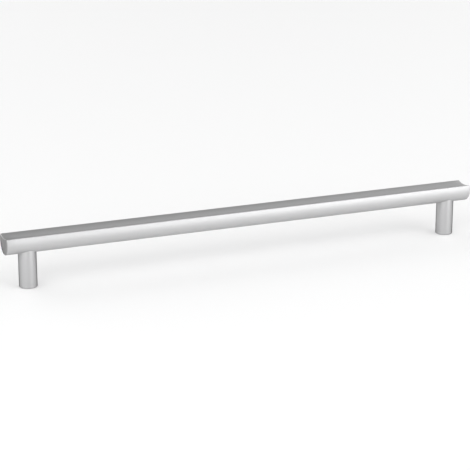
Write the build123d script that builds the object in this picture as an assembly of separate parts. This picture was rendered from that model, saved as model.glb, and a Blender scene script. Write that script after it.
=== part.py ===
from build123d import *
from math import radians, sqrt, tan
import os

# Cabinet pull: a long bar with a scooped outer face, carried on two turned posts.
#
# The frame has its origin on the door face, midway between the posts. X runs along
# the bar, Y across it and Z stands away from the door, so the pull also stands on
# its two feet. All sizes are in millimetres.

# Pull as a whole
HOLE_SPACING = 320.0  # centre to centre of the two fixing screws
PROJECTION = 37.0  # door face to the crests of the bar, before they are rounded

# Bar, an aluminium extrusion cut to length
BAR_DIAMETER = 18.0
END_OVERHANG = 16.0  # centre of each post to the end of the bar
CREST_RISE = 3.9  # centre of the round to the crests, before they are rounded
SCOOP_DEPTH = 1.4  # crests down to the middle of the scoop
CREST_ROUNDING = 0.6
BAR_END_CHAMFER = 0.4

# Posts, turned from round bar
POST_DIAMETER = 12.5
FOOT_CHAMFER = 0.5

# Seat of each post, a pocket milled in the underside of the bar
SEAT_DEPTH = 2.8  # up from the lowest line of the bar, past its flanks at the post
SEAT_CLEARANCE = 0.04  # on the radius, between post and pocket

# Joining stud, a grub screw that draws post and bar together
STUD_DIAMETER = 5.0
STUD_LENGTH = 12.0
STUD_END_CHAMFER = 0.6
STUD_SOCKET_ACROSS = 2.5  # size of the hexagon key
STUD_SOCKET_DEPTH = 3.0

# Tapped holes, drawn at the major diameter of their thread
THREAD_CLEARANCE = 0.03  # on the radius, between stud and hole
THREAD_RUNOUT = 0.5  # full-width hole beyond each end of the stud
DRILL_POINT_ANGLE = 118.0
SCOOP_WALL = 1.2  # metal left between the drill point and the scoop
FIXING_DIAMETER = 4.0
FIXING_DEPTH = 13.0
FIXING_COUNTERSINK = 0.5  # widens the mouth of the fixing hole

ON_BASE = (Align.CENTER, Align.CENTER, Align.MIN)


def drill_point(radius):
    """Height of the cone that a drill leaves at the end of a blind hole."""
    return radius / tan(radians(DRILL_POINT_ANGLE / 2))


# Places worked out from the sizes above
bar_length = HOLE_SPACING + 2 * END_OVERHANG
bar_radius = BAR_DIAMETER / 2
axis_height = PROJECTION - CREST_RISE
seat_height = axis_height - bar_radius + SEAT_DEPTH
stud_hole_radius = STUD_DIAMETER / 2 + THREAD_CLEARANCE
stud_hole_top = PROJECTION - SCOOP_DEPTH - SCOOP_WALL - drill_point(stud_hole_radius)
stud_top = stud_hole_top - THREAD_RUNOUT
stud_foot = stud_top - STUD_LENGTH
post_places = {"left": -HOLE_SPACING / 2, "right": HOLE_SPACING / 2}


def bar_section():
    """Section of the bar, standing at its left end: round, with a scoop on top."""
    crest_reach = sqrt(bar_radius**2 - CREST_RISE**2)
    front_crest = (-crest_reach, CREST_RISE)
    back_crest = (crest_reach, CREST_RISE)
    left_end = Plane((-bar_length / 2, 0, axis_height), x_dir=(0, 1, 0), z_dir=(1, 0, 0))
    with BuildSketch(left_end) as section:
        with BuildLine():
            ThreePointArc(back_crest, (0, -bar_radius), front_crest)
            ThreePointArc(front_crest, (0, CREST_RISE - SCOOP_DEPTH), back_crest)
        make_face()
        fillet(section.vertices(), CREST_ROUNDING)
    return section.sketch.face()


def drilled_hole(radius, depth):
    """Space of a blind drilled hole, from its mouth at the origin up along Z."""
    with BuildPart() as hole:
        Cylinder(radius, depth, align=ON_BASE)
        with Locations((0, 0, depth)):
            Cone(radius, 0, drill_point(radius), align=ON_BASE)
    return hole.part


def post_seat():
    """Space cut out of the bar for one post: a round pocket and a tapped hole."""
    with BuildPart() as seat:
        Cylinder(POST_DIAMETER / 2 + SEAT_CLEARANCE, seat_height, align=ON_BASE)
        with Locations((0, 0, seat_height)):
            add(drilled_hole(stud_hole_radius, stud_hole_top - seat_height))
    return seat.part


def make_bar():
    """Bar with chamfered ends and a seat for each post."""
    section = bar_section()
    seat = post_seat()
    with BuildPart() as bar:
        extrude(section, amount=bar_length)
        chamfer(bar.faces().filter_by(Axis.X).edges(), BAR_END_CHAMFER)
        with Locations([(place, 0, 0) for place in post_places.values()]):
            add(seat, mode=Mode.SUBTRACT)
    return bar.part


def make_post():
    """Turned post, tapped in its foot for the door's screw and in its top for the stud."""
    stud_hole_depth = seat_height - stud_foot + THREAD_RUNOUT
    with BuildPart() as post:
        Cylinder(POST_DIAMETER / 2, seat_height, align=ON_BASE)
        add(drilled_hole(FIXING_DIAMETER / 2, FIXING_DEPTH), mode=Mode.SUBTRACT)
        foot = post.faces().sort_by(Axis.Z)[0]
        chamfer(foot.outer_wire().edges(), FOOT_CHAMFER)
        foot = post.faces().sort_by(Axis.Z)[0]
        chamfer(foot.inner_wires()[0].edges(), FIXING_COUNTERSINK)
        with Locations(Location((0, 0, seat_height), (180, 0, 0))):
            add(drilled_hole(stud_hole_radius, stud_hole_depth), mode=Mode.SUBTRACT)
    return post.part


def make_stud():
    """Grub screw that stands across the seat, its key socket facing the foot."""
    foot = Plane.XY.offset(stud_foot)
    with BuildPart(foot) as stud:
        Cylinder(STUD_DIAMETER / 2, STUD_LENGTH, align=ON_BASE)
        chamfer(stud.edges().filter_by(GeomType.CIRCLE), STUD_END_CHAMFER)
        with BuildSketch(foot):
            RegularPolygon(STUD_SOCKET_ACROSS / 2, 6, major_radius=False)
        extrude(amount=STUD_SOCKET_DEPTH, mode=Mode.SUBTRACT)
    return stud.part


def main():
    os.makedirs("parts", exist_ok=True)
    export_step(make_bar(), "parts/grip_bar.step")
    post = make_post()
    stud = make_stud()
    for side, place in post_places.items():
        there = Location((place, 0, 0))
        export_step(post.moved(there), f"parts/post_{side}.step")
        export_step(stud.moved(there), f"parts/joining_stud_{side}.step")


main()
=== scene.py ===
"""Dresses the scooped bar pull: fine bar, turned posts, threaded studs and a plain studio."""

from math import atan2, cos, hypot, pi, radians, sin, sqrt, tan, tau

import bmesh
import bpy
from bpy.props import FloatProperty, FloatVectorProperty, IntProperty, PointerProperty
from mathutils import Matrix, Vector


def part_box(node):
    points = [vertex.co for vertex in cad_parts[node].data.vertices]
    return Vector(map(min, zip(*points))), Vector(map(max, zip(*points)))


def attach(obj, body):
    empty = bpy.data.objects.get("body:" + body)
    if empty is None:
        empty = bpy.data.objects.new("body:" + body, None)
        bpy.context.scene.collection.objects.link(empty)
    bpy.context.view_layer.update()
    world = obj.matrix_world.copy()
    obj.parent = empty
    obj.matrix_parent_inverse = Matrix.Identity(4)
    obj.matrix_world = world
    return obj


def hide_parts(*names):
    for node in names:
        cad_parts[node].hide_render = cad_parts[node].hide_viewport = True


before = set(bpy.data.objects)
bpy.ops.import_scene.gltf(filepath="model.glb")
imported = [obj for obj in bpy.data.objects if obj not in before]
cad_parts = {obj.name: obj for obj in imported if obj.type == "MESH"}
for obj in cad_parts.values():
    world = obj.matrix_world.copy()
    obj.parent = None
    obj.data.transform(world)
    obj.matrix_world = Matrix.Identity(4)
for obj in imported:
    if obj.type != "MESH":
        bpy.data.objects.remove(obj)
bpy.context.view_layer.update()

bl_info = {
    "name": "Scooped Bar Pull",
    "version": (1, 0, 0),
    "blender": (4, 5, 0),
    "location": "3D View > Sidebar > Bar Pull",
    "description": "Makes a scooped aluminium bar pull on two turned posts, with its studio",
    "category": "Object",
}

MM = 0.001

# Distances within which points merge, and within which they line up
MERGE_TURNED = 0.0005 * MM
MERGE_SECTION = 0.005 * MM
ALIGNED = 0.001 * MM

# Facets along the two crests and across the scoop
CREST_STEPS = 8
SCOOP_STEPS = 24
SMOOTH_BELOW = radians(20)

# How far a face's normal leans along its axis, which tells the faces of the bar apart
END_LEAN = 0.9
END_CHAMFER_LEAN = 0.2
SCOOP_LEAN = 0.93

# Material slots of the bar, after the first, which is its round
END_SLOT = 1
SCOOP_SLOT = 2

# Cuts across the bar beside each seat, as a share of the post's diameter from its centre
SEAT_CUT = 0.75

# Factors that put a limit just inside or just outside a chamfer
JUST_INSIDE = 0.9
JUST_OUTSIDE = 1.1

# Holes and threads, with the widths and heights of a thread's ridge as shares of its pitch
DRILL_HALF_ANGLE = radians(59)
THREAD_STEPS = 40
THREAD_HALF_ROOT = 0.42
THREAD_HALF_CREST = 0.07
FIXING_THREAD_HEIGHT = 0.5
STUD_THREAD_HEIGHT = 0.6
THREAD_START = 0.05  # height of a ridge at its very ends, against its full height
THREAD_SINK = 0.02 * MM  # depth of a ridge's root inside the wall that carries it
MOUTH_MARGIN = 1.2  # start of the foot's thread, against the height of the countersink
LEAST_STUD_CHAMFER = 0.1 * MM

# Turn of the posts' stretched reflections, as a share of a full turn
POST_STRETCH_TURN = 0.25

# Stage, in metres
FLOOR_HALF_WIDTH = 12.0
FLOOR_DROP = 0.02 * MM  # keeps the floor clear of the feet
LAMP_AIM = (0, 0, 0.02)
SENSOR_WIDTH = 36  # in millimetres, as the lens is

# Soft lamps round the pull: azimuth from the front and elevation in degrees, width and height
# in metres, and brightness
LAMPS = {
    "low left lamp": (302, 14, 2.4, 1.1, 1.4),
    "front lamp": (0, 10, 4.16, 0.8, 1.5),
    "low right lamp": (34, 14, 2.2, 1.1, 1.6),
    "upper front lamp": (0, 45, 3.52, 1.28, 0.32),
    "upper left lamp": (310, 35, 1.92, 1.28, 1.33),
    "upper right lamp": (40, 35, 1.92, 1.28, 1.14),
    "right lamp": (92, 26, 2.56, 2.08, 1.25),
    "back right lamp": (148, 20, 1.8, 1.5, 0.45),
    "back left lamp": (207, 26, 2.08, 2.08, 1.17),
    "left lamp": (260, 26, 2.24, 2.08, 0.93),
}

bar_low, bar_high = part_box("grip_bar")
stud_low, stud_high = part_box("joining_stud_left")
post_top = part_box("post_left")[1].z
post_places = {}
for side in ("left", "right"):
    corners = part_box(f"post_{side}")
    post_places[side] = (corners[0].x + corners[1].x) / 2


def length(name, description, default):
    """A size in metres that a user can change."""
    return FloatProperty(name=name, description=description, default=default, min=0.0, precision=5,
                         unit="LENGTH")


def share(name, description, default):
    """A number from 0 to 1."""
    return FloatProperty(name=name, description=description, default=default, min=0.0, max=1.0,
                         subtype="FACTOR")


def colour(name, description, default):
    """A linear colour."""
    return FloatVectorProperty(name=name, description=description, default=default, size=3, min=0.0, max=1.0,
                               subtype="COLOR")


class PullBarSizes(bpy.types.PropertyGroup):
    """Sizes of the scooped bar."""

    length: length("Length", "Bar from end to end", bar_high.x - bar_low.x)
    diameter: length("Diameter", "Round of the bar", 18 * MM)
    axis_height: length("Axis height", "Centre of the round above the door", 33.1 * MM)
    crest_rise: length("Crest rise", "Centre of the round up to the crests", 3.9 * MM)
    scoop_depth: length("Scoop depth", "Crests down to the middle of the scoop", 1.4 * MM)
    crest_rounding: length("Crest rounding", "Radius on both crests", 0.6 * MM)
    end_chamfer: length("End chamfer", "Chamfer round both ends", 0.4 * MM)
    edge_break: length("Edge break", "Fine break on the edges of the end chamfer", 0.05 * MM)
    seat_height: length("Seat height", "Floor of the post's pocket above the door", post_top)
    seat_clearance: length("Seat clearance", "Gap round each post in its pocket", 0.04 * MM)
    round_steps: IntProperty(name="Round steps", description="Facets round the bar", default=132, min=24)


class PullPostSizes(bpy.types.PropertyGroup):
    """Sizes of the turned posts."""

    diameter: length("Diameter", "Post from side to side", 12.5 * MM)
    foot_chamfer: length("Foot chamfer", "Chamfer round the foot", 0.5 * MM)
    edge_break: length("Edge break", "Fine break on the turned edges", 0.06 * MM)
    fixing_diameter: length("Fixing thread", "Thread in the foot, across its major diameter", 4 * MM)
    fixing_pitch: length("Fixing pitch", "Rise of the foot's thread in one turn", 0.7 * MM)
    fixing_depth: length("Fixing depth", "Full depth of the hole in the foot", 13 * MM)
    countersink: length("Countersink", "Widening at the mouth of the foot's hole", 0.5 * MM)
    stud_hole_diameter: length("Stud hole", "Hole for the joining stud", 5.06 * MM)
    stud_hole_foot: length("Stud hole foot", "Lower end of the stud's hole above the door", 19.88 * MM)
    stud_hole_top: length("Stud hole top", "Upper end of the stud's hole above the door", 32.88 * MM)
    round_steps: IntProperty(name="Round steps", description="Facets round a post", default=120, min=24)


class PullStudSizes(bpy.types.PropertyGroup):
    """Sizes of the joining studs."""

    diameter: length("Diameter", "Thread across its major diameter", 5 * MM)
    pitch: length("Pitch", "Rise of the thread in one turn", 0.8 * MM)
    end_chamfer: length("End chamfer", "Chamfer on both ends", 0.6 * MM)
    socket_across: length("Socket", "Hexagon socket across its flats", 2.5 * MM)
    socket_depth: length("Socket depth", "Depth of the hexagon socket", 3 * MM)


class PullFinish(bpy.types.PropertyGroup):
    """Colours and surface of the metals."""

    bar_colour: colour("Bar colour", "Satin anodised bar", (0.58, 0.58, 0.584))
    # The ends are darker than the bar: partly the sawn face's own tone, partly painted shade, as they face
    # away from the lamps.
    end_colour_and_shade: colour("End colour", "Sawn and anodised ends of the bar", (0.47, 0.47, 0.473))
    # The posts are the bar's metal made darker: painted shade for the shade they stand in under the bar.
    post_colour_and_shade: colour("Post colour", "Satin anodised posts", (0.52, 0.52, 0.524))
    stud_colour: colour("Stud colour", "Plated steel studs", (0.55, 0.55, 0.53))
    bar_roughness: share("Bar roughness", "Blur of the bar's reflections", 0.5)
    scoop_roughness: share("Scoop roughness", "Blur of the scoop's reflections", 0.34)
    post_roughness: share("Post roughness", "Blur of the posts' reflections", 0.42)
    end_roughness: share("End roughness", "Blur of the sawn ends' reflections", 0.48)
    stud_roughness: share("Stud roughness", "Blur of the studs' reflections", 0.3)
    bar_edge: share("Bar edge", "Brightness of the bar seen along its surface", 0.0)
    scoop_edge: share("Scoop edge", "Brightness of the scoop seen along its surface", 0.6)
    post_edge: share("Post edge", "Brightness of the posts seen along their surface", 0.0)
    end_edge: share("End edge", "Brightness of the sawn ends seen along their surface", 0.0)
    stud_edge: share("Stud edge", "Brightness of the studs seen along their surface", 0.8)
    bar_anisotropy: share("Bar anisotropy", "Stretch of the bar's reflections across its grain", 0.62)
    post_anisotropy: share("Post anisotropy", "Stretch of the posts' reflections along them", 0.7)


class PullStage(bpy.types.PropertyGroup):
    """Floor, lamps and camera."""

    floor_colour: colour("Floor colour", "Pale floor", (0.93, 0.93, 0.93))
    world_level: share("World level", "Brightness of the room beyond the floor", 0.42)
    lamp_level: FloatProperty(name="Lamp level", description="Brightness of all the lamps", default=1.0,
                              min=0.0)
    lamp_distance: length("Lamp distance", "Pull to each lamp", 2.4)
    azimuth: FloatProperty(name="Azimuth", description="Camera round from the front", default=radians(-22.98),
                           subtype="ANGLE")
    elevation: FloatProperty(name="Elevation", description="Camera above the floor", default=radians(16.9),
                             subtype="ANGLE")
    distance: length("Distance", "Camera to its aim", 1226.1 * MM)
    focal: FloatProperty(name="Focal length", description="Lens in millimetres", default=133.33, min=10.0,
                         unit="CAMERA")
    aim_x: FloatProperty(name="Aim across", description="Aim along the bar", default=-8.53 * MM,
                         unit="LENGTH")
    aim_z: length("Aim height", "Aim above the door", 18.16 * MM)


def drill_point(radius):
    """Height of the cone that a drill leaves."""
    return radius / tan(DRILL_HALF_ANGLE)


def add_object(name, data):
    """Puts a new object with the given mesh, lamp or camera into the scene."""
    added = bpy.data.objects.new(name, data)
    bpy.context.scene.collection.objects.link(added)
    return added


def add_mesh(name, bm):
    """Puts a bmesh into the scene as a mesh object, and frees it."""
    mesh = bpy.data.meshes.new(name)
    bm.to_mesh(mesh)
    bm.free()
    return add_object(name, mesh)


def turn(bm, points, place, steps):
    """Spins a chain of (radius, height) points into a closed turned shape that stands at place."""
    verts = [bm.verts.new((place + radius, 0, height)) for radius, height in points]
    edges = [bm.edges.new(pair) for pair in zip(verts, verts[1:])]
    bmesh.ops.spin(bm, geom=verts + edges, cent=(place, 0, 0), axis=(0, 0, 1), angle=tau, steps=steps,
                   use_merge=True)
    bmesh.ops.remove_doubles(bm, verts=bm.verts, dist=MERGE_TURNED)
    bmesh.ops.recalc_face_normals(bm, faces=bm.faces)


def wind_thread(bm, place, low, high, root, crest, pitch):
    """Adds one ridge wound round the upright axis at place, fading out at both ends."""
    ridge = bmesh.new()
    foot, tip = pitch * THREAD_HALF_ROOT, pitch * THREAD_HALF_CREST
    outline = [(root, -foot), (crest, -tip), (crest, tip), (root, foot)]
    face = ridge.faces.new([ridge.verts.new((place + radius, 0, low + rise)) for radius, rise in outline])
    steps = int((high - low) / pitch * THREAD_STEPS)
    bmesh.ops.spin(ridge, geom=[face], cent=(place, 0, 0), axis=(0, 0, 1), angle=steps * tau / THREAD_STEPS,
                   dvec=(0, 0, pitch / THREAD_STEPS), steps=steps)
    bmesh.ops.recalc_face_normals(ridge, faces=ridge.faces)
    for vert in ridge.verts:
        radius = hypot(vert.co.x - place, vert.co.y)
        if abs(radius - crest) < abs(radius - root):
            inwards = min(vert.co.z - low, high - vert.co.z) + tip
            fullness = min(1.0, max(THREAD_START, inwards / (pitch / 2)))
            reach = (root + (crest - root) * fullness) / crest
            vert.co = (place + (vert.co.x - place) * reach, vert.co.y * reach, vert.co.z)
    mesh = bpy.data.meshes.new("ridge")
    ridge.to_mesh(mesh)
    ridge.free()
    bm.from_mesh(mesh)
    bpy.data.meshes.remove(mesh)


def edges_between(bm, low, high, place, radius):
    """Edges of the turned rings between two heights and outside a radius."""
    found = []
    for edge in bm.edges:
        level = all(low <= v.co.z <= high for v in edge.verts)
        outside = all(hypot(v.co.x - place, v.co.y) >= radius for v in edge.verts)
        if level and outside and abs(edge.verts[0].co.z - edge.verts[1].co.z) < ALIGNED:
            found.append(edge)
    return found


def make_piece(name, bm, materials, node):
    """Finishes a bmesh as a piece that stands for a node and rides with the pull."""
    piece = add_mesh(name, bm)
    for material in materials:
        piece.data.materials.append(material)
    piece.data.shade_smooth()
    piece.data.set_sharp_from_angle(angle=SMOOTH_BELOW)
    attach(piece, "root")
    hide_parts(node)


def cut_away(bm, cutter):
    """Takes the cutter's closed shape out of bm and returns the result as a new bmesh."""
    blank = add_mesh("blank", bm)
    tool = add_mesh("cutter", cutter)
    cut = blank.modifiers.new("cut", "BOOLEAN")
    cut.operation = "DIFFERENCE"
    cut.solver = "EXACT"
    cut.object = tool
    depsgraph = bpy.context.evaluated_depsgraph_get()
    result = bmesh.new()
    result.from_object(blank, depsgraph)
    for shape in (blank, tool):
        mesh = shape.data
        bpy.data.objects.remove(shape)
        bpy.data.meshes.remove(mesh)
    return result


def bar_outline(bm, sizes):
    """Draws the bar's section at its left end with four spun arcs: round, crest, scoop, crest."""
    radius = sizes.diameter / 2
    rise, depth, rounding = sizes.crest_rise, sizes.scoop_depth, sizes.crest_rounding
    reach = sqrt(radius**2 - rise**2)
    scoop_radius = (reach**2 + depth**2) / (2 * depth)
    scoop_centre = rise - depth + scoop_radius
    inner, outer = radius - rounding, scoop_radius + rounding
    crest_z = (inner**2 - outer**2 + scoop_centre**2) / (2 * scoop_centre)
    crest_y = sqrt(inner**2 - crest_z**2)
    on_round = atan2(crest_z, crest_y)
    on_scoop = atan2(scoop_centre - crest_z, -crest_y)
    axis = Vector((bar_low.x, 0, sizes.axis_height))
    back_crest = axis + Vector((0, crest_y, crest_z))
    front_crest = axis + Vector((0, -crest_y, crest_z))
    scoop_axis = axis + Vector((0, 0, scoop_centre))
    crest_turn = on_scoop - on_round
    arcs = (
        (axis, pi + 2 * on_round, sizes.round_steps),
        (back_crest, crest_turn, CREST_STEPS),
        (scoop_axis, pi - 2 * on_scoop, SCOOP_STEPS),
        (front_crest, crest_turn, CREST_STEPS),
    )
    start = axis + radius * Vector((0, -cos(on_round), sin(on_round)))
    tip = bm.verts.new(start)
    for centre, angle, steps in arcs:
        swept = bmesh.ops.spin(bm, geom=[tip], cent=centre, axis=(1, 0, 0), angle=angle, steps=steps)
        tip = next(v for v in swept["geom_last"] if isinstance(v, bmesh.types.BMVert))
    bmesh.ops.remove_doubles(bm, verts=bm.verts, dist=MERGE_SECTION)


def bar_blank(sizes):
    """Bar before its seats are cut: the section extruded, its ends chamfered and broken."""
    bm = bmesh.new()
    bar_outline(bm, sizes)
    filled = bmesh.ops.contextual_create(bm, geom=bm.edges)
    grown = bmesh.ops.extrude_face_region(bm, geom=filled["faces"])
    far = [v for v in grown["geom"] if isinstance(v, bmesh.types.BMVert)]
    chamfer = sizes.end_chamfer
    bmesh.ops.translate(bm, vec=(sizes.length - 2 * chamfer, 0, 0), verts=far)
    bmesh.ops.translate(bm, vec=(chamfer, 0, 0), verts=bm.verts)
    bmesh.ops.recalc_face_normals(bm, faces=bm.faces)
    ends = [f for f in bm.faces if abs(f.normal.x) > END_LEAN]
    for end in ends:
        bmesh.ops.inset_region(bm, faces=[end], thickness=chamfer, depth=chamfer, use_even_offset=True)
    rims = [e for e in bm.edges if abs(e.verts[0].co.x - e.verts[1].co.x) < ALIGNED]
    bmesh.ops.bevel(bm, geom=rims, offset=sizes.edge_break, offset_type="OFFSET", segments=2, profile=0.5,
                    affect="EDGES", material=-1, clamp_overlap=True)
    return bm


class PULL_OT_bar(bpy.types.Operator):
    """Make the scooped bar with the seats of its posts"""

    bl_idname = "pull.make_bar"
    bl_label = "Make Bar"

    def execute(self, context):
        sizes, posts = context.scene.pull_bar, context.scene.pull_posts
        bm = bar_blank(sizes)
        pocket = posts.diameter / 2 + sizes.seat_clearance
        hole = posts.stud_hole_diameter / 2
        below = sizes.axis_height - sizes.diameter
        tip = posts.stud_hole_top + drill_point(hole)
        profile = [(0, below), (pocket, below), (pocket, sizes.seat_height), (hole, sizes.seat_height),
                   (hole, posts.stud_hole_top), (0, tip)]
        for place in post_places.values():
            for shift in (-1, 1):
                plane = place + shift * posts.diameter * SEAT_CUT
                bmesh.ops.bisect_plane(bm, geom=bm.verts[:] + bm.edges[:] + bm.faces[:],
                                       plane_co=(plane, 0, 0), plane_no=(1, 0, 0))
            cutter = bmesh.new()
            turn(cutter, profile, place, posts.round_steps)
            bm = cut_away(bm, cutter)
        # The ends and their chamfers take the end material, whose darker tone is partly painted shade.
        end_start = sizes.length / 2 - sizes.end_chamfer * JUST_OUTSIDE
        for face in bm.faces:
            centre = face.calc_center_median()
            if abs(centre.x) > end_start and abs(face.normal.x) > END_CHAMFER_LEAN:
                face.material_index = END_SLOT
            elif face.normal.z > SCOOP_LEAN and centre.z > sizes.axis_height:
                face.material_index = SCOOP_SLOT
        finish = context.scene.pull_finish
        materials = [bar_material("satin bar", finish, finish.bar_edge, finish.bar_roughness),
                     end_material(finish),
                     bar_material("satin scoop", finish, finish.scoop_edge, finish.scoop_roughness)]
        make_piece("scooped_bar", bm, materials, "grip_bar")
        return {"FINISHED"}


class PULL_OT_posts(bpy.types.Operator):
    """Make the two turned posts with the threads in their feet"""

    bl_idname = "pull.make_posts"
    bl_label = "Make Posts"

    def execute(self, context):
        sizes = context.scene.pull_posts
        radius, foot = sizes.diameter / 2, sizes.foot_chamfer
        fixing, stud = sizes.fixing_diameter / 2, sizes.stud_hole_diameter / 2
        top = context.scene.pull_bar.seat_height
        profile = [
            (0, sizes.stud_hole_foot - drill_point(stud)),
            (stud, sizes.stud_hole_foot),
            (stud, top),
            (radius, top),
            (radius, foot),
            (radius - foot, 0),
            (fixing + sizes.countersink, 0),
            (fixing, sizes.countersink),
            (fixing, sizes.fixing_depth),
            (0, sizes.fixing_depth + drill_point(fixing)),
        ]
        for side, place in post_places.items():
            bm = bmesh.new()
            turn(bm, profile, place, sizes.round_steps)
            rims = edges_between(bm, -MM, foot * JUST_OUTSIDE, place,
                                 fixing + sizes.countersink * JUST_INSIDE)
            bmesh.ops.bevel(bm, geom=rims, offset=sizes.edge_break, offset_type="OFFSET", segments=2,
                            profile=0.5, affect="EDGES", material=-1, clamp_overlap=True)
            bottom, end = sizes.countersink * MOUTH_MARGIN, sizes.fixing_depth - sizes.fixing_pitch
            crest = fixing - sizes.fixing_pitch * FIXING_THREAD_HEIGHT
            wind_thread(bm, place, bottom, end, fixing + THREAD_SINK, crest, sizes.fixing_pitch)
            satin = post_material(context.scene.pull_finish, side)
            make_piece(f"turned_post_{side}", bm, [satin], f"post_{side}")
        return {"FINISHED"}


class PULL_OT_studs(bpy.types.Operator):
    """Make the two threaded studs inside the joints"""

    bl_idname = "pull.make_studs"
    bl_label = "Make Studs"

    def execute(self, context):
        sizes = context.scene.pull_studs
        major = sizes.diameter / 2
        height = sizes.pitch * STUD_THREAD_HEIGHT
        minor = major - height
        low, high = stud_low.z, stud_high.z
        chamfer = max(sizes.end_chamfer - height, LEAST_STUD_CHAMFER)
        profile = [(0, low), (minor - chamfer, low), (minor, low + chamfer), (minor, high - chamfer),
                   (minor - chamfer, high), (0, high)]
        plated = stud_material(context.scene.pull_finish)
        for side, place in post_places.items():
            bm = bmesh.new()
            turn(bm, profile, place, THREAD_STEPS)
            socket = bmesh.new()
            across = sizes.socket_across / sqrt(3)
            bmesh.ops.create_cone(socket, cap_ends=True, segments=6, radius1=across, radius2=across,
                                  depth=2 * sizes.socket_depth, matrix=Matrix.Translation((place, 0, low)))
            bm = cut_away(bm, socket)
            wind_thread(bm, place, low + height, high - height, minor - THREAD_SINK, major, sizes.pitch)
            make_piece(f"threaded_stud_{side}", bm, [plated], f"joining_stud_{side}")
        return {"FINISHED"}


def set_inputs(tree, node, inputs):
    """Links each input of a node that is given a socket, and sets each that is given a value."""
    for key, value in inputs.items():
        if isinstance(value, bpy.types.NodeSocket):
            tree.links.new(value, node.inputs[key])
        else:
            node.inputs[key].default_value = value


def add_node(tree, kind, inputs=None, **settings):
    """Adds a node to a tree, sets its options, and sets or links its inputs."""
    node = tree.nodes.new(kind)
    for key, value in settings.items():
        setattr(node, key, value)
    set_inputs(tree, node, inputs or {})
    return node


def group_sockets(name, inputs, outputs):
    """A new shader node group with its named sockets, and its two end nodes."""
    tree = bpy.data.node_groups.new(name, "ShaderNodeTree")
    for label, kind, default in inputs:
        socket = tree.interface.new_socket(name=label, in_out="INPUT", socket_type=kind)
        if default is not None:
            socket.default_value = default
    for label, kind in outputs:
        tree.interface.new_socket(name=label, in_out="OUTPUT", socket_type=kind)
    return tree, tree.nodes.new("NodeGroupInput"), tree.nodes.new("NodeGroupOutput")


def fine_lines_group():
    """Node group of fine parallel lines with a few wider streaks among them."""
    name = "Fine Lines"
    if name in bpy.data.node_groups:
        return bpy.data.node_groups[name]
    tree, start, end = group_sockets(
        name,
        [("Vector", "NodeSocketVector", None), ("Line Scale", "NodeSocketFloat", 4000.0),
         ("Streak Scale", "NodeSocketFloat", 600.0), ("Streak Share", "NodeSocketFloat", 0.4)],
        [("Height", "NodeSocketFloat"), ("Streaks", "NodeSocketFloat")],
    )
    given = start.outputs
    lines = add_node(tree, "ShaderNodeTexNoise",
                     {"Vector": given["Vector"], "Scale": given["Line Scale"], "Detail": 2.0,
                      "Roughness": 0.6})
    streaks = add_node(tree, "ShaderNodeTexNoise",
                       {"Vector": given["Vector"], "Scale": given["Streak Scale"], "Detail": 3.0,
                        "Roughness": 0.65})
    both = add_node(tree, "ShaderNodeMix",
                    {0: given["Streak Share"], 2: lines.outputs["Fac"], 3: streaks.outputs["Fac"]},
                    data_type="FLOAT")
    tree.links.new(both.outputs[0], end.inputs["Height"])
    tree.links.new(streaks.outputs["Fac"], end.inputs["Streaks"])
    return tree


def satin_group():
    """Node group of an anodised skin: its colour and roughness, varied a little by streaks and clouds."""
    name = "Satin Skin"
    if name in bpy.data.node_groups:
        return bpy.data.node_groups[name]
    tree, start, end = group_sockets(
        name,
        [("Vector", "NodeSocketVector", None), ("Colour", "NodeSocketColor", (0.6, 0.6, 0.6, 1.0)),
         ("Roughness", "NodeSocketFloat", 0.35), ("Streaks", "NodeSocketFloat", 0.5),
         ("Tone Spread", "NodeSocketFloat", 0.06), ("Roughness Spread", "NodeSocketFloat", 0.08)],
        [("Colour", "NodeSocketColor"), ("Roughness", "NodeSocketFloat")],
    )
    given = start.outputs
    clouds = add_node(tree, "ShaderNodeTexNoise",
                      {"Vector": given["Vector"], "Scale": 45.0, "Detail": 3.0, "Roughness": 0.5})
    mixed = add_node(tree, "ShaderNodeMix", {0: 0.35, 2: given["Streaks"], 3: clouds.outputs["Fac"]},
                     data_type="FLOAT")
    centred = add_node(tree, "ShaderNodeMath", {0: mixed.outputs[0], 1: 0.5}, operation="SUBTRACT")
    tone = add_node(tree, "ShaderNodeMath", {0: centred.outputs[0], 1: given["Tone Spread"], 2: 1.0},
                    operation="MULTIPLY_ADD")
    shade = add_node(tree, "ShaderNodeVectorMath", {0: given["Colour"], "Scale": tone.outputs[0]},
                     operation="SCALE")
    rough = add_node(tree, "ShaderNodeMath",
                     {0: centred.outputs[0], 1: given["Roughness Spread"], 2: given["Roughness"]},
                     operation="MULTIPLY_ADD")
    tree.links.new(shade.outputs[0], end.inputs["Colour"])
    tree.links.new(rough.outputs[0], end.inputs["Roughness"])
    return tree


def metal(name, tint, edge, roughness, coordinates, depth, grain, spreads, axis=None, stretch=0.0,
          turned=0.0):
    """Metal with fine lines of the given depth on the given coordinates, and a satin skin.

    grain and spreads set the two node groups' sockets by name. The reflections stretch round the
    axis, where one is given, or turned from that by a share of a full turn.
    """
    material = bpy.data.materials.new(name)
    material.use_nodes = True
    tree = material.node_tree
    shader = tree.nodes["Principled BSDF"]
    lines = add_node(tree, "ShaderNodeGroup", {"Vector": coordinates(tree), **grain},
                     node_tree=fine_lines_group())
    place = add_node(tree, "ShaderNodeTexCoord")
    skin = add_node(tree, "ShaderNodeGroup",
                    {"Vector": place.outputs["Object"], "Streaks": lines.outputs["Streaks"],
                     "Colour": (*tint, 1.0), "Roughness": roughness, **spreads},
                    node_tree=satin_group())
    bump = add_node(tree, "ShaderNodeBump",
                    {"Strength": 1.0, "Distance": depth, "Height": lines.outputs["Height"]})
    set_inputs(tree, shader, {"Base Color": skin.outputs["Colour"], "Roughness": skin.outputs["Roughness"],
                              "Normal": bump.outputs["Normal"], "Metallic": 1.0,
                              "Specular Tint": (edge, edge, edge, 1.0), "Anisotropic": stretch,
                              "Anisotropic Rotation": turned})
    if axis:
        tangent = add_node(tree, "ShaderNodeTangent", direction_type="RADIAL", axis=axis)
        tree.links.new(tangent.outputs["Tangent"], shader.inputs["Tangent"])
    return material


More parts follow.
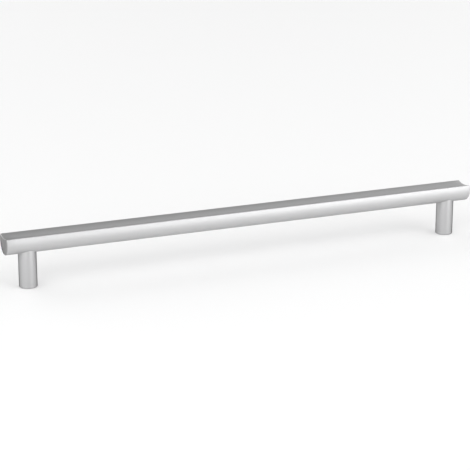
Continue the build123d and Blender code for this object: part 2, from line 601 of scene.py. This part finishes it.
def along_bar(tree):
    """Object coordinates drawn out along the bar, so that noise becomes long lines."""
    place = add_node(tree, "ShaderNodeTexCoord")
    drawn = add_node(tree, "ShaderNodeMapping",
                     {"Vector": place.outputs["Object"], "Scale": (0.004, 1.0, 1.0)})
    return drawn.outputs["Vector"]


def across_ends(tree):
    """Object coordinates drawn out upwards and a little slanted, as a saw leaves them on the ends."""
    place = add_node(tree, "ShaderNodeTexCoord")
    drawn = add_node(tree, "ShaderNodeMapping",
                     {"Vector": place.outputs["Object"], "Scale": (1.0, 1.0, 0.05),
                      "Rotation": (radians(20), 0, 0)})
    return drawn.outputs["Vector"]


def around_post(place):
    """Coordinates of a turned post: height plus radius, and a little of the way round."""

    def build(tree):
        where = add_node(tree, "ShaderNodeTexCoord")
        centred = add_node(tree, "ShaderNodeMapping",
                           {"Vector": where.outputs["Object"], "Location": (-place, 0, 0)})
        split = add_node(tree, "ShaderNodeSeparateXYZ", {"Vector": centred.outputs["Vector"]})
        flat = add_node(tree, "ShaderNodeCombineXYZ", {"X": split.outputs["X"], "Y": split.outputs["Y"]})
        radius = add_node(tree, "ShaderNodeVectorMath", {0: flat.outputs["Vector"]}, operation="LENGTH")
        along = add_node(tree, "ShaderNodeMath", {0: split.outputs["Z"], 1: radius.outputs["Value"]})
        aside = add_node(tree, "ShaderNodeVectorMath", {0: flat.outputs["Vector"], "Scale": 0.01},
                         operation="SCALE")
        parts = add_node(tree, "ShaderNodeSeparateXYZ", {"Vector": aside.outputs["Vector"]})
        joined = add_node(tree, "ShaderNodeCombineXYZ",
                          {"X": parts.outputs["X"], "Y": parts.outputs["Y"], "Z": along.outputs["Value"]})
        return joined.outputs["Vector"]

    return build


def bar_material(name, finish, edge, roughness):
    """Satin anodised extrusion with fine lines along it."""
    return metal(name, finish.bar_colour, edge, roughness, along_bar, depth=0.0012 * MM,
                 grain={"Line Scale": 5000.0, "Streak Scale": 900.0, "Streak Share": 0.3},
                 spreads={"Tone Spread": 0.08, "Roughness Spread": 0.1},
                 axis="X", stretch=finish.bar_anisotropy)


def end_material(finish):
    """Sawn and anodised ends of the bar, darker than its round: partly their own cut face, partly painted
    shade.
    """
    return metal("sawn end", finish.end_colour_and_shade, finish.end_edge, finish.end_roughness, across_ends,
                 depth=0.003 * MM,
                 grain={"Line Scale": 3500.0, "Streak Scale": 500.0, "Streak Share": 0.4},
                 spreads={"Tone Spread": 0.16, "Roughness Spread": 0.12})


def post_material(finish, side):
    """Satin anodised post with fine turning lines, its colour darker than the bar's metal by painted shade.
    """
    return metal(f"satin post {side}", finish.post_colour_and_shade, finish.post_edge, finish.post_roughness,
                 around_post(post_places[side]), depth=0.0012 * MM,
                 grain={"Line Scale": 4500.0, "Streak Scale": 700.0, "Streak Share": 0.3},
                 spreads={"Tone Spread": 0.06, "Roughness Spread": 0.1},
                 axis="Z", stretch=finish.post_anisotropy, turned=POST_STRETCH_TURN)


def stud_material(finish):
    """Zinc plated steel of both studs."""
    return metal("plated stud", finish.stud_colour, finish.stud_edge, finish.stud_roughness, along_bar,
                 depth=0.001 * MM,
                 grain={"Line Scale": 2500.0, "Streak Scale": 400.0, "Streak Share": 0.5},
                 spreads={"Tone Spread": 0.1, "Roughness Spread": 0.12})


def direction(azimuth, elevation):
    """Unit vector away from the pull, with the azimuth counted from the front to the right."""
    return Vector((sin(azimuth) * cos(elevation), -cos(azimuth) * cos(elevation), sin(elevation)))


def add_lamp(name, place, aim, width, height, level):
    """Adds a soft rectangular lamp whose face has the given brightness and isn't seen itself."""
    data = bpy.data.lights.new(name, "AREA")
    data.shape = "RECTANGLE"
    data.size = width
    data.size_y = height
    data.energy = level * pi * width * height
    lamp = add_object(name, data)
    lamp.location = place
    lamp.rotation_euler = (Vector(aim) - Vector(place)).to_track_quat("-Z", "Y").to_euler()
    lamp.visible_camera = False


def floor_material(tint):
    """Plain matt floor."""
    material = bpy.data.materials.new("pale floor")
    material.use_nodes = True
    shader = material.node_tree.nodes["Principled BSDF"]
    set_inputs(material.node_tree, shader,
               {"Base Color": (*tint, 1.0), "Roughness": 1.0, "Specular IOR Level": 0.0})
    return material


class PULL_OT_stage(bpy.types.Operator):
    """Make the floor, the lamps, the room and the camera"""

    bl_idname = "pull.make_stage"
    bl_label = "Make Stage"

    def execute(self, context):
        stage = context.scene.pull_stage
        bm = bmesh.new()
        bmesh.ops.create_grid(bm, x_segments=1, y_segments=1, size=FLOOR_HALF_WIDTH,
                              matrix=Matrix.Translation((0, 0, -FLOOR_DROP)))
        floor = add_mesh("floor", bm)
        floor.data.materials.append(floor_material(stage.floor_colour))
        world = bpy.data.worlds.new("room")
        world.use_nodes = True
        room = stage.world_level
        world.node_tree.nodes["Background"].inputs["Color"].default_value = (room, room, room, 1.0)
        context.scene.world = world
        for name, (azimuth, elevation, width, height, level) in LAMPS.items():
            place = stage.lamp_distance * direction(radians(azimuth), radians(elevation))
            add_lamp(name, place, LAMP_AIM, width, height, level * stage.lamp_level)
        data = bpy.data.cameras.new("camera")
        data.lens = stage.focal
        data.sensor_width = SENSOR_WIDTH
        camera = add_object("camera", data)
        back = direction(stage.azimuth, stage.elevation)
        camera.location = Vector((stage.aim_x, 0, stage.aim_z)) + back * stage.distance
        camera.rotation_euler = (-back).to_track_quat("-Z", "Y").to_euler()
        context.scene.camera = camera
        context.scene.view_settings.view_transform = "Standard"
        return {"FINISHED"}


class PULL_PT_sidebar(bpy.types.Panel):
    """Sizes, finish and steps of the bar pull"""

    bl_idname = "PULL_PT_sidebar"
    bl_label = "Bar Pull"
    bl_space_type = "VIEW_3D"
    bl_region_type = "UI"
    bl_category = "Bar Pull"

    def draw(self, context):
        layout = self.layout
        for group in GROUPS:
            settings = getattr(context.scene, group)
            box = layout.box()
            for key in settings.bl_rna.properties.keys():
                if key not in ("rna_type", "name"):
                    box.prop(settings, key)
        for maker in MAKERS:
            layout.operator(maker.bl_idname)


GROUPS = {
    "pull_bar": PullBarSizes,
    "pull_posts": PullPostSizes,
    "pull_studs": PullStudSizes,
    "pull_finish": PullFinish,
    "pull_stage": PullStage,
}
MAKERS = (PULL_OT_bar, PULL_OT_posts, PULL_OT_studs, PULL_OT_stage)


def register():
    """Registers the classes and puts their settings on the scene."""
    for group in (*GROUPS.values(), *MAKERS, PULL_PT_sidebar):
        bpy.utils.register_class(group)
    for key, group in GROUPS.items():
        setattr(bpy.types.Scene, key, PointerProperty(type=group))


def unregister():
    """Takes the settings and the classes away again."""
    for key in GROUPS:
        delattr(bpy.types.Scene, key)
    for group in (PULL_PT_sidebar, *MAKERS, *GROUPS.values()):
        bpy.utils.unregister_class(group)


def main():
    """Registers the add-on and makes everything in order."""
    register()
    bpy.ops.pull.make_stage()
    bpy.ops.pull.make_bar()
    bpy.ops.pull.make_posts()
    bpy.ops.pull.make_studs()


if __name__ == "__main__":
    main()
